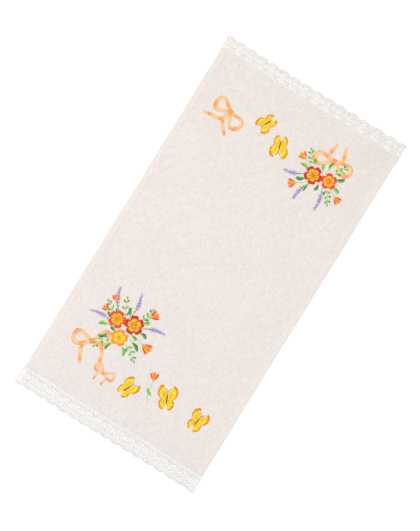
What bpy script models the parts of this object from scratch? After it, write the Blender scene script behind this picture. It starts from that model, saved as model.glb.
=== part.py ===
"""A linen hand towel lying flat, with a strip of cotton lace sewn across each end.

Metres, +Z up. X runs across the towel and Y along it; the floor is z = 0. The near end (-Y) has its
lace on top of the cloth, the far end (+Y) has the lace's header tucked under the cloth. Every height
is measured from the floor, and every "reach" is measured from the tips of the scallops inwards.
"""
import math

import bmesh
import bpy

# Driving sizes, in metres.
TOWEL_WIDTH = 0.358
TOWEL_LENGTH = 0.700              # tip to tip of the two lace strips
HALF_LENGTH = TOWEL_LENGTH / 2
GAP = 0.0003                      # left between any two pieces

CLOTH_THICK = 0.0011
HEM_THICK = 0.0017                # the side hems are folded twice
HEM_WIDTH = 0.0118
HEM_STEP = 0.0015                 # width over which the cloth climbs to the hem

LACE_THICK = 0.0012
EDGE_CORD_INSET = 0.0004          # raised cord that follows the scallops
EDGE_CORD_WIDTH = 0.0018
RAISED_LOW = 0.0005               # raised threads start inside the lace's own thickness
RAISED_TOP = LACE_THICK + 0.0003
SCALLOP_STEPS = 6                 # straight pieces in one scallop's curve
SCALLOP_POWER = 2.2               # how square-shouldered a scallop is
CLOSEST_TO_CORNER = 0.0008        # between a scallop's last point and the strip's corner
ROSETTE_RADIUS = 0.0059
PETALS = 8
PETAL_DEPTH = 0.085               # share of the radius
ROSETTE_EYE = 0.0010
EYE_SIDES = 6
SOLID_AT_ENDS = 0.0022            # left whole between the last opening and the strip's end

NEAR_TIP_OVERHANG = 0.0022        # the strip's ends stick out past the cloth, most at the tips
NEAR_HEADER_OVERHANG = 0.0004
NEAR_LAP = 0.0049                 # how far the near header overlaps the cloth
NEAR_HEADER_REACH = 0.0334        # scallop tips to the header's inner edge
NEAR_ROSETTE_REACH = 0.0175
NEAR_EYELET_REACH = 0.0260
NEAR_FIRST_VALLEY = -0.1641
NEAR_PITCH = 0.02177
NEAR_EASE = 0.0009                # the lace was eased on a little unevenly
NEAR_EASE_CREST = -0.040
NEAR_EASE_LENGTH = 0.185
NEAR_SCALLOPS = 17
NEAR_SCALLOP_DEPTH = 0.0024
RAMP_START_REACH = 0.0244         # the near lace climbs from the floor onto the cloth
RAMP_END_REACH = 0.0281

FAR_OVERHANG = 0.0004
FAR_CLOTH_REACH = 0.0257          # scallop tips to the cloth's folded end
FAR_HEADER_REACH = 0.0317
FAR_ROSETTE_REACH = 0.0122
FAR_FIRST_VALLEY = -0.1618
FAR_PITCH = 0.02156
FAR_PITCH_GROWTH = 0.0000945      # each scallop is a little wider than the last
FAR_WIDE_SCALLOP = 13             # one scallop near the corner was eased wide
FAR_WIDE_EXTRA = 0.0052
FAR_SCALLOPS = 16
FAR_SCALLOP_DEPTH = 0.0026
FAR_RAMP_LENGTH = 0.008           # the cloth climbs onto the far header
FAR_RAMP_CLEAR = 0.001

# How far each end runs out of square, in metres along Y, at columns across the towel.
SKEW_COLUMNS = {
    "x":    (-0.179, -0.115, -0.092, 0.000, 0.072, 0.179),
    "near": (0.0010, 0.0009, -0.0008, -0.0008, -0.0001, -0.0016),
    "far":  (0.0024, 0.0017, 0.0009, 0.0, -0.0002, 0.0),
}
SKEW_FROM, SKEW_FULL = 0.200, 0.300

# The long edges wander: the height and the waves per metre of two sines along the towel.
WANDER_SLOW = {"height": 0.00020, "turn": 21.0}
WANDER_QUICK = {"height": 0.00015, "turn": 47.0}

# Lines of the cloth's grid: rows through its flat length, and one column beside the skew's own.
FLAT_ROWS = (-0.300, -0.280, -0.250, -0.220, -0.200, -0.120, -0.040,
             0.040, 0.120, 0.200, 0.220, 0.250, 0.280, 0.300)
RIGHT_COLUMN = 0.130
RAMP_SHARES = (1.0, 0.75, 0.5, 0.25, 0.0)

NEAR_CLOTH_END = -HALF_LENGTH + NEAR_HEADER_REACH - NEAR_LAP
FAR_CLOTH_END = HALF_LENGTH - FAR_CLOTH_REACH
FAR_RAMP_END = HALF_LENGTH - FAR_HEADER_REACH - FAR_RAMP_CLEAR
HALF_WIDTH = TOWEL_WIDTH / 2
HEADER_COLUMNS = list(SKEW_COLUMNS["x"][1:-1])
LACE_AHEAD = 0.0004               # the lace is up at its hem height this far before the hem
LACE_HEM_TOP = HALF_WIDTH - HEM_WIDTH - LACE_AHEAD
SPARE = 0.003                     # how far a working shape runs past what it makes
WELD = 0.00001

# Openings in one repeat of each lace: centre (across from the rosette, reach) and size, in metres.
# "lean" turns the opening about its centre, in degrees.
NEAR_OPENINGS = [
    {"x": -0.0048, "reach": 0.0097, "wide": 0.0014, "tall": 0.0046, "lean": 8},
    {"x": 0.0, "reach": 0.0090, "wide": 0.0014, "tall": 0.0034, "lean": 0},
    {"x": 0.0048, "reach": 0.0097, "wide": 0.0014, "tall": 0.0046, "lean": -8},
    {"x": -0.00816, "reach": NEAR_EYELET_REACH, "wide": 0.0016, "tall": 0.0014, "lean": 0},
    {"x": -0.00272, "reach": NEAR_EYELET_REACH, "wide": 0.0016, "tall": 0.0014, "lean": 0},
    {"x": 0.00272, "reach": NEAR_EYELET_REACH, "wide": 0.0016, "tall": 0.0014, "lean": 0},
    {"x": 0.00816, "reach": NEAR_EYELET_REACH, "wide": 0.0016, "tall": 0.0014, "lean": 0},
]
NEAR_BRIDGE_OPENINGS = [
    {"x": 0.0, "reach": 0.0158, "wide": 0.0038, "tall": 0.0014, "lean": 0},
    {"x": 0.0, "reach": 0.0197, "wide": 0.0038, "tall": 0.0014, "lean": 0},
]
FAR_OPENINGS = [
    {"x": -0.0058, "reach": 0.0064, "wide": 0.0042, "tall": 0.0011, "lean": 22},
    {"x": 0.0058, "reach": 0.0064, "wide": 0.0042, "tall": 0.0011, "lean": -22},
    {"x": -0.0052, "reach": 0.0190, "wide": 0.0042, "tall": 0.0012, "lean": -24},
    {"x": 0.0052, "reach": 0.0190, "wide": 0.0042, "tall": 0.0012, "lean": 24},
]
FAR_BRIDGE_OPENINGS = [
    {"x": 0.0, "reach": 0.0152, "wide": 0.0034, "tall": 0.0013, "lean": 0},
]

LINEN_COLOUR = (0.78, 0.72, 0.68, 1.0)
LACE_COLOUR = (0.86, 0.83, 0.80, 1.0)


def clear_scene():
    for obj in list(bpy.data.objects):
        bpy.data.objects.remove(obj, do_unlink=True)


def fabric(name, colour, roughness):
    material = bpy.data.materials.new(name)
    material.use_nodes = True
    shader = material.node_tree.nodes["Principled BSDF"]
    shader.inputs["Base Color"].default_value = colour
    shader.inputs["Roughness"].default_value = roughness
    return material


def new_collection(name):
    collection = bpy.data.collections.new(name)
    bpy.context.scene.collection.children.link(collection)
    return collection


def interpolate(columns, values, x):
    """Straight-line reading of a table at x, held level past its ends."""
    if x <= columns[0]:
        return values[0]
    for left, right, low, high in zip(columns, columns[1:], values, values[1:]):
        if x <= right:
            return low + (high - low) * (x - left) / (right - left)
    return values[-1]


def smooth(share):
    share = min(max(share, 0.0), 1.0)
    return share * share * (3 - 2 * share)


def askew(x, y):
    """Moves a point along Y as the towel's ends run out of square."""
    end = "far" if y > 0 else "near"
    weight = smooth((abs(y) - SKEW_FROM) / (SKEW_FULL - SKEW_FROM))
    return y + weight * interpolate(SKEW_COLUMNS["x"], SKEW_COLUMNS[end], x)


# The linen panel.
def cloth_columns():
    """Places across the towel where the panel's grid has a line, from left to right."""
    hem_top = HALF_WIDTH - HEM_WIDTH
    half = [hem_top - HEM_STEP, hem_top, HALF_WIDTH]
    middle = HEADER_COLUMNS + [RIGHT_COLUMN]
    return sorted([-x for x in half] + middle + half)


def cloth_rows():
    """Places along the towel where the panel's grid has a line, from near to far."""
    ramp = [FAR_RAMP_END - FAR_RAMP_LENGTH * share for share in RAMP_SHARES]
    return [NEAR_CLOTH_END] + list(FLAT_ROWS) + ramp + [FAR_CLOTH_END]


def cloth_lift(y):
    """Height of the cloth's underside: flat on the floor, then up over the far lace's header."""
    return (LACE_THICK + GAP) * smooth((y - FAR_RAMP_END) / FAR_RAMP_LENGTH + 1)


def side_wander(y):
    """How far a long edge strays outwards at y: the sum of the two sines."""
    return (WANDER_SLOW["height"] * math.sin(y * WANDER_SLOW["turn"])
            + WANDER_QUICK["height"] * math.sin(y * WANDER_QUICK["turn"] + 1.0))


def build_linen(collection, material):
    columns, rows = cloth_columns(), cloth_rows()
    mesh = bpy.data.meshes.new("linen_panel")
    shape = bmesh.new()
    bmesh.ops.create_grid(shape, x_segments=len(columns) - 1, y_segments=len(rows) - 1, size=0.5)
    hem_points = []
    for vert in shape.verts:
        x = columns[round((vert.co.x + 0.5) * (len(columns) - 1))]
        y = rows[round((vert.co.y + 0.5) * (len(rows) - 1))]
        if abs(x) > HALF_WIDTH - HEM_WIDTH - HEM_STEP / 2:
            hem_points.append(vert.index)
        side = math.copysign(1.0, x)
        wander = side * side_wander(y * side) if x in (columns[0], columns[-1]) else 0.0
        vert.co = (x + wander, askew(x, y), cloth_lift(y))
    shape.to_mesh(mesh)
    shape.free()

    panel = bpy.data.objects.new("linen_panel", mesh)
    collection.objects.link(panel)
    panel.data.materials.append(material)
    everywhere = panel.vertex_groups.new(name="cloth")
    everywhere.add(range(len(mesh.vertices)), CLOTH_THICK / HEM_THICK, "REPLACE")
    everywhere.add(hem_points, 1.0, "REPLACE")

    body = panel.modifiers.new("Cloth thickness", "SOLIDIFY")
    body.thickness = HEM_THICK
    body.offset = 1.0
    body.vertex_group = "cloth"
    return panel


# The lace strips.
def near_valleys():
    """Where two scallops meet on the near lace; one more valley than scallops."""
    places = []
    for index in range(-1, NEAR_SCALLOPS):
        x = NEAR_FIRST_VALLEY + NEAR_PITCH * index
        turn = 2 * math.pi * (x - NEAR_EASE_CREST) / NEAR_EASE_LENGTH
        places.append(x + NEAR_EASE * math.cos(turn))
    return places


def far_valleys():
    """Where two scallops meet on the far lace; one more valley than scallops."""
    places = []
    for index in range(-1, FAR_SCALLOPS):
        x = FAR_FIRST_VALLEY + FAR_PITCH * index + FAR_PITCH_GROWTH * index * index
        places.append(x + (FAR_WIDE_EXTRA if index >= FAR_WIDE_SCALLOP else 0.0))
    return places


def scalloped_edge(valleys, depth, half_width, inset=0.0):
    """Points (x, reach) along the scallops between the strip's two ends.

    reach = inset + depth * |2s - 1| ^ SCALLOP_POWER, where s goes 0 to 1 across one scallop.
    """
    points = []
    for left, right in zip(valleys, valleys[1:]):
        for step in range(SCALLOP_STEPS):
            share = step / SCALLOP_STEPS
            points.append((left + (right - left) * share,
                           inset + depth * abs(2 * share - 1) ** SCALLOP_POWER))
    points.append((valleys[-1], inset + depth))
    limit = half_width - inset
    kept = [point for point in points if abs(point[0]) < limit - CLOSEST_TO_CORNER]
    columns, reaches = [p[0] for p in points], [p[1] for p in points]
    ends = [(x, interpolate(columns, reaches, x)) for x in (-limit, limit)]
    return [ends[0]] + kept + [ends[1]]


def opening_loop(spec, centre):
    """A four-cornered opening, leaning about its centre."""
    lean = math.radians(spec["lean"])
    half_wide, half_tall = spec["wide"] / 2, spec["tall"] / 2
    corners = [(-half_wide, -half_tall), (half_wide, -half_tall),
               (half_wide, half_tall), (-half_wide, half_tall)]
    return [(centre + spec["x"] + x * math.cos(lean) - y * math.sin(lean),
             spec["reach"] + x * math.sin(lean) + y * math.cos(lean)) for x, y in corners]


def eye_loop(x, reach):
    """The small round hole in a rosette's middle."""
    angles = [2 * math.pi * i / EYE_SIDES for i in range(EYE_SIDES)]
    return [(x + ROSETTE_EYE * math.cos(a), reach + ROSETTE_EYE * math.sin(a)) for a in angles]


def petal_loop(x, reach):
    """An eight-petalled outline: radius = ROSETTE_RADIUS * (1 + PETAL_DEPTH * cos(8 angle))."""
    points = []
    for i in range(PETALS * 2):
        angle = math.pi * i / PETALS
        radius = ROSETTE_RADIUS * (1 + PETAL_DEPTH * (1 if i % 2 == 0 else -1))
        points.append((x + radius * math.cos(angle), reach + radius * math.sin(angle)))
    return points


def flat_solid(name, loops, low, high, outward):
    """A closed slab between two heights from loops of (x, reach); inner loops are openings."""
    curve = bpy.data.curves.new(name, "CURVE")
    curve.dimensions = "2D"
    curve.fill_mode = "BOTH"
    curve.extrude = (high - low) / 2
    for loop in loops:
        spline = curve.splines.new("POLY")
        spline.points.add(len(loop) - 1)
        for point, (x, reach) in zip(spline.points, loop):
            point.co = (x, askew(x, outward * (HALF_LENGTH - reach)), 0.0, 1.0)
        spline.use_cyclic_u = True
    holder = bpy.data.objects.new(name + "_curve", curve)
    bpy.context.scene.collection.objects.link(holder)
    bpy.context.view_layer.update()
    evaluated = holder.evaluated_get(bpy.context.evaluated_depsgraph_get())
    mesh = bpy.data.meshes.new_from_object(evaluated)
    mesh.name = name
    bpy.data.objects.remove(holder, do_unlink=True)

    shape = bmesh.new()
    shape.from_mesh(mesh)
    bmesh.ops.remove_doubles(shape, verts=shape.verts, dist=WELD)
    for vert in shape.verts:
        vert.co.z += (low + high) / 2
    bmesh.ops.recalc_face_normals(shape, faces=shape.faces)
    shape.to_mesh(mesh)
    shape.free()
    return mesh


def lace_loops(valleys, depth, half_tips, half_header, header_reach, rosette_reach,
               openings, bridge_openings):
    """The outline of a lace strip with its openings, and the centres of its whole rosettes.

    half_tips and half_header are half the strip's length along its tips and along its header.
    """
    inner_edge = [half_header] + HEADER_COLUMNS[::-1] + [-half_header]
    outline = scalloped_edge(valleys, depth, half_tips) + [(x, header_reach) for x in inner_edge]
    loops, centres = [outline], []
    margin = half_tips - SOLID_AT_ENDS
    for left, right in zip(valleys, valleys[1:]):
        centre = (left + right) / 2
        for spec in openings:
            if abs(centre + spec["x"]) + spec["wide"] / 2 < margin:
                loops.append(opening_loop(spec, centre))
        if abs(centre) + ROSETTE_RADIUS * (1 + PETAL_DEPTH) < margin:
            loops.append(eye_loop(centre, rosette_reach))
            centres.append(centre)
    for valley in valleys:
        for spec in bridge_openings:
            if abs(valley) + spec["wide"] / 2 < margin:
                loops.append(opening_loop(spec, valley))
    return loops, centres


def near_lift(x, reach):
    """Height of the near lace's underside: on the floor, then up over the cloth and its hems."""
    onto_hem = min(max((abs(x) - LACE_HEM_TOP) / HEM_STEP + 1, 0.0), 1.0)
    height = CLOTH_THICK + GAP + onto_hem * (HEM_THICK - CLOTH_THICK)
    climb = (reach - RAMP_START_REACH) / (RAMP_END_REACH - RAMP_START_REACH)
    return height * min(max(climb, 0.0), 1.0)


def lace_underside(name, outward, reaches, climbs):
    """The lace's underside as a grid a little larger than the lace, bent where it climbs."""
    outer = HALF_WIDTH + NEAR_TIP_OVERHANG + SPARE
    columns = sorted([-outer, -LACE_HEM_TOP, HEM_STEP - LACE_HEM_TOP]
                     + HEADER_COLUMNS + [LACE_HEM_TOP - HEM_STEP, LACE_HEM_TOP, outer])
    mesh = bpy.data.meshes.new(name)
    shape = bmesh.new()
    bmesh.ops.create_grid(shape, x_segments=len(columns) - 1, y_segments=len(reaches) - 1, size=0.5)
    for vert in shape.verts:
        x = columns[round((vert.co.x + 0.5) * (len(columns) - 1))]
        row = round((vert.co.y + 0.5) * (len(reaches) - 1))
        reach = reaches[row] if outward < 0 else reaches[-1 - row]
        lift = near_lift(x, reach) if climbs else 0.0
        vert.co = (x, askew(x, outward * (HALF_LENGTH - reach)), lift)
    bmesh.ops.triangulate(shape, faces=shape.faces)
    shape.to_mesh(mesh)
    shape.free()
    return mesh


def build_lace(name, collection, cutters, material, outward, reaches, outline_loops,
               raised_loops, climbs):
    """A bent slab, with its raised threads added, cut to the lace's outline and openings."""
    lace = bpy.data.objects.new(name, lace_underside(name, outward, reaches, climbs))
    collection.objects.link(lace)
    lace.data.materials.append(material)
    body = lace.modifiers.new("Lace thickness", "SOLIDIFY")
    body.thickness = LACE_THICK
    body.offset = 1.0
    body.use_even_offset = True

    steps = [("raised threads", "UNION", raised_loops, RAISED_LOW, RAISED_TOP),
             ("outline and openings", "INTERSECT", outline_loops, -SPARE, RAISED_TOP + 2 * SPARE)]
    for label, operation, loops, low, high in steps:
        mesh = flat_solid(f"{name} {label}", loops, low, high, outward)
        tool = bpy.data.objects.new(mesh.name, mesh)
        tool.display_type = "WIRE"
        tool.hide_render = True
        cutters.objects.link(tool)
        step = lace.modifiers.new(label, "BOOLEAN")
        step.operation = operation
        step.solver = "EXACT"
        step.object = tool
    return lace


def cord_loop(valleys, depth, half_width):
    """The raised cord's outline: the scallops inset once and, on the way back, inset further."""
    outer = scalloped_edge(valleys, depth, half_width, EDGE_CORD_INSET)
    inner = scalloped_edge(valleys, depth, half_width, EDGE_CORD_INSET + EDGE_CORD_WIDTH)
    return outer + inner[::-1]


def main():
    clear_scene()
    towel = new_collection("linen_towel")
    cutters = new_collection("lace_working_shapes")
    linen = fabric("linen", LINEN_COLOUR, 0.9)
    cotton = fabric("cotton_lace", LACE_COLOUR, 0.88)

    build_linen(towel, linen)

    valleys = near_valleys()
    half_tips = HALF_WIDTH + NEAR_TIP_OVERHANG
    loops, centres = lace_loops(valleys, NEAR_SCALLOP_DEPTH, half_tips,
                                HALF_WIDTH + NEAR_HEADER_OVERHANG, NEAR_HEADER_REACH,
                                NEAR_ROSETTE_REACH, NEAR_OPENINGS, NEAR_BRIDGE_OPENINGS)
    raised = [cord_loop(valleys, NEAR_SCALLOP_DEPTH, half_tips)]
    raised += [petal_loop(x, NEAR_ROSETTE_REACH) for x in centres]
    near_rows = [-SPARE, RAMP_START_REACH, RAMP_END_REACH, NEAR_HEADER_REACH + SPARE]
    build_lace("lace_near", towel, cutters, cotton, -1, near_rows, loops, raised, climbs=True)

    valleys = far_valleys()
    half_length = HALF_WIDTH + FAR_OVERHANG
    loops, centres = lace_loops(valleys, FAR_SCALLOP_DEPTH, half_length, half_length,
                                FAR_HEADER_REACH, FAR_ROSETTE_REACH, FAR_OPENINGS,
                                FAR_BRIDGE_OPENINGS)
    raised = [cord_loop(valleys, FAR_SCALLOP_DEPTH, half_length)]
    raised += [petal_loop(x, FAR_ROSETTE_REACH) for x in centres]
    far_rows = [-SPARE, FAR_HEADER_REACH + SPARE]
    build_lace("lace_far", towel, cutters, cotton, 1, far_rows, loops, raised, climbs=False)


main()
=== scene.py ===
"""Looks of the linen hand towel: woven cloth, thread lace on both ends and satin-stitched flowers.

Metres, +Z up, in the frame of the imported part: X across the towel, Y along it, floor at z = 0.
"""

import math

import bpy
import numpy as np
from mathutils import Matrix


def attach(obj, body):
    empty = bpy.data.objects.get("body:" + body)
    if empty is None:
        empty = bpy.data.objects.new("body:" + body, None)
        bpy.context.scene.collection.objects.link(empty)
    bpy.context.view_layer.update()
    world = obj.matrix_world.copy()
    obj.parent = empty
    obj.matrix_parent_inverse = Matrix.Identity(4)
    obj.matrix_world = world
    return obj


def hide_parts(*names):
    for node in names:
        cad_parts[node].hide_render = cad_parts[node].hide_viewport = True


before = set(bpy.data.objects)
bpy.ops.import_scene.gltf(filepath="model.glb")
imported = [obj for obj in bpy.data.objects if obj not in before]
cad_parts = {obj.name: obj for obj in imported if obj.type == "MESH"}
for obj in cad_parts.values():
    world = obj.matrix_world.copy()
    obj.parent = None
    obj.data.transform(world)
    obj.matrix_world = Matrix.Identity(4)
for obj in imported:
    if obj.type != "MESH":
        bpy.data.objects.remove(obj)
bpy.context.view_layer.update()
MM = 0.001


# The cloth: one length of plain-woven, half-bleached linen with a double-folded hem down each long
# side. It is pressed flat; its far end climbs over the lace's header, which is sewn beneath it.
TOWEL_HALF_WIDTH = 179.0 * MM
TOWEL_HALF_LENGTH = 350.0 * MM         # to the tips of the scallops
CLOTH_THICK = 1.1 * MM
HEM_THICK = 1.7 * MM
HEM_WIDTH = 11.8 * MM
HEM_SEAM = 10.2 * MM                   # the hem's stitching, from the cloth's edge
CLOTH_NEAR_END = -321.5 * MM
CLOTH_FAR_END = 324.3 * MM
FAR_CLIMB_START = 309.3 * MM
FAR_CLIMB_LENGTH = 8.0 * MM
FAR_CLIMB_HEIGHT = 1.5 * MM
CLOTH_GRID = 3.0 * MM
RIM_STEPS = [0, 0.12, 0.35, 0.8, 1.5]  # in millimetres: the grid crowds towards the rim
RIM_SHARE = 0.25                       # of the thickness, left at the very edge
SKEW_START = 200 * MM                  # from the towel's middle
SKEW_FADE = 100 * MM
SKEW_AT = np.array([-179, -115, -92, 0, 72, 179]) * MM
SKEW_NEAR = np.array([1.0, 0.9, -0.8, -0.8, -0.1, -1.6]) * MM
SKEW_FAR = np.array([2.4, 1.7, 0.9, 0.0, -0.2, 0.0]) * MM
RIPPLE_HEIGHT = 0.05 * MM
HEM_STEP = 1.0 * MM                    # the width over which a hem's second layer begins
PUCKER_HEIGHT, PUCKER_PITCH = 0.10 * MM, 8.5 * MM
SEAM_DENT, SEAM_DENT_WIDE = 0.28 * MM, 0.45 * MM
YARN_GAP = 0.7 * MM
HEM_BLUR = 0.3 * MM                    # half the width over which the hem's shade begins
# Shaded and lit linen, as sRGB: cool yarn, warm yarn and the folded hems.
LINEN_SHADES = (("#D5CDCF", "#EEE7E8"), ("#D8CFC6", "#F1E9DF"), ("#DAD2CC", "#F1E8E3"))


def smooth(share):
    """0 below 0, 1 above 1, and 3s^2 - 2s^3 between."""
    share = np.clip(share, 0.0, 1.0)
    return share * share * (3 - 2 * share)


def askew(x, y):
    """Y moved as the towel's ends run out of square: a table across, faded in towards each end."""
    weight = smooth((np.abs(y) - SKEW_START) / SKEW_FADE)
    shift = np.where(y > 0, np.interp(x, SKEW_AT, SKEW_FAR), np.interp(x, SKEW_AT, SKEW_NEAR))
    return y + weight * shift


def cloth_rise(y):
    """Height of the cloth's underside, which climbs onto the far lace's header."""
    return FAR_CLIMB_HEIGHT * smooth((y - FAR_CLIMB_START) / FAR_CLIMB_LENGTH)


def ripple(x, y):
    """Shallow unevenness left by pressing: three crossed sine waves, never below zero."""
    wave = (np.sin(x * 31 + 1.3 * np.sin(y * 9)) + np.sin(y * 17 + 1.7 * np.sin(x * 12))
            + np.sin((x + y) * 24 + 2.0))
    return RIPPLE_HEIGHT * (3 + wave)


def cloth_top(x, y):
    """Height of the cloth's upper side away from its hems."""
    return cloth_rise(y) + CLOTH_THICK + ripple(x, y)


def edge_round(inward, thick):
    """Share of the thickness left near an edge: sqrt(1 - (1 - s)^2), a half circle across it."""
    share = np.clip(inward / (thick / 2), 0.0, 1.0)
    return np.maximum(np.sqrt(1 - (1 - share) ** 2), RIM_SHARE)


def new_piece(name, points, faces):
    """A smoothly shaded mesh object at the origin, from an array of points and one of quads."""
    mesh = bpy.data.meshes.new(name)
    mesh.from_pydata(points.tolist(), [], faces.tolist())
    mesh.shade_smooth()
    piece = bpy.data.objects.new(name, mesh)
    bpy.context.scene.collection.objects.link(piece)
    return piece


def closed_sheet(name, top, bottom):
    """A closed mesh from two matching grids of points, joined round their rim."""
    rows, cols = top.shape[:2]
    index = np.arange(rows * cols).reshape(rows, cols)
    lower = index + rows * cols

    def quads(a):
        return np.stack([a[:-1, :-1], a[:-1, 1:], a[1:, 1:], a[1:, :-1]], -1).reshape(-1, 4)

    def wall(run):
        return np.stack([run[:-1] + rows * cols, run[1:] + rows * cols, run[1:], run[:-1]], -1)

    rim = [index[0], index[:, -1], index[-1, ::-1], index[::-1, 0]]
    faces = np.concatenate([quads(index), quads(lower)[:, ::-1]] + [wall(run) for run in rim])
    return new_piece(name, np.concatenate([top.reshape(-1, 3), bottom.reshape(-1, 3)]), faces)


def cloth_grid():
    """Top and bottom of the cloth, with close columns over the hems and close rows at the ends.

    Along its length a hem puckers by a wavering sine wave, and it dips in a bell curve,
    exp(-d^2), where it is stitched. The sides wander by two sine waves that fade out 30 mm inwards.
    """
    hem = np.concatenate([RIM_STEPS, np.arange(2.5, 9.6, 1.4), np.arange(9.6, 13.0, 0.3),
                          [13.8]]) * MM
    side = TOWEL_HALF_WIDTH - hem
    middle = np.arange(-side[-1] + CLOTH_GRID, side[-1] - CLOTH_GRID / 2, CLOTH_GRID)
    columns = np.concatenate([-side, middle, side[::-1]])
    end = np.array(RIM_STEPS + [2.5]) * MM
    rows = np.concatenate([CLOTH_NEAR_END + end,
                           np.arange(CLOTH_NEAR_END + 5 * MM, FAR_CLIMB_START, CLOTH_GRID),
                           np.arange(FAR_CLIMB_START, CLOTH_FAR_END - 3 * MM, 1.0 * MM),
                           CLOTH_FAR_END - end[::-1]])
    y, x = np.meshgrid(rows, columns, indexing="ij")
    inward = TOWEL_HALF_WIDTH - np.abs(x)
    on_hem = 1 - smooth((inward - HEM_WIDTH + HEM_STEP / 2) / HEM_STEP)
    pucker = PUCKER_HEIGHT * on_hem * np.sin(y * 2 * np.pi / PUCKER_PITCH + 2 * np.sin(y * 60))
    seam = SEAM_DENT * np.exp(-((inward - HEM_SEAM) / SEAM_DENT_WIDE) ** 2)
    thick = CLOTH_THICK + (HEM_THICK - CLOTH_THICK) * on_hem + pucker * (inward > 2 * MM) - seam
    end_inward = np.minimum(y - CLOTH_NEAR_END, CLOTH_FAR_END - y)
    share = np.minimum(edge_round(inward, thick), edge_round(end_inward, thick))
    wander = 0.2 * MM * np.sin(y * 21 * np.sign(x)) + 0.15 * MM * np.sin(y * 47 * np.sign(x) + 1)
    x = x + np.sign(x) * wander * (1 - smooth(inward / (30 * MM)))
    rise, lumps = cloth_rise(y), ripple(x, y) * smooth(inward / (12 * MM))
    y = askew(x, y)
    upper = rise + thick * (0.5 + 0.5 * share) + lumps
    under = rise + thick * (0.5 - 0.5 * share)
    return np.stack([x, y, upper], -1), np.stack([x, y, under], -1)


def hex_colour(code):
    """An sRGB hex colour as linear RGBA: c / 12.92 when dark, else ((c + 0.055) / 1.055) ^ 2.4."""
    parts = [int(code[i:i + 2], 16) / 255 for i in (1, 3, 5)]
    return [c / 12.92 if c <= 0.04045 else ((c + 0.055) / 1.055) ** 2.4 for c in parts] + [1.0]


def new_material(name, sockets):
    """A material, its node tree and its shader, with uniform values set on the shader's sockets."""
    material = bpy.data.materials.new(name)
    material.use_nodes = True
    shader = material.node_tree.nodes["Principled BSDF"]
    for socket, value in sockets.items():
        shader.inputs[socket].default_value = value
    return material, material.node_tree, shader


def add(tree, kind, inputs=None, **settings):
    """Adds a shader node with its settings and links.

    inputs maps a socket to a value, to another socket, or to a node for that node's first output.
    """
    node = tree.nodes.new("ShaderNode" + kind)
    for key, value in settings.items():
        setattr(node, key, value)
    for key, value in (inputs or {}).items():
        if isinstance(value, bpy.types.Node):
            value = value.outputs[0]
        if isinstance(value, bpy.types.NodeSocket):
            tree.links.new(value, node.inputs[key])
        else:
            node.inputs[key].default_value = value
    return node


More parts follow.
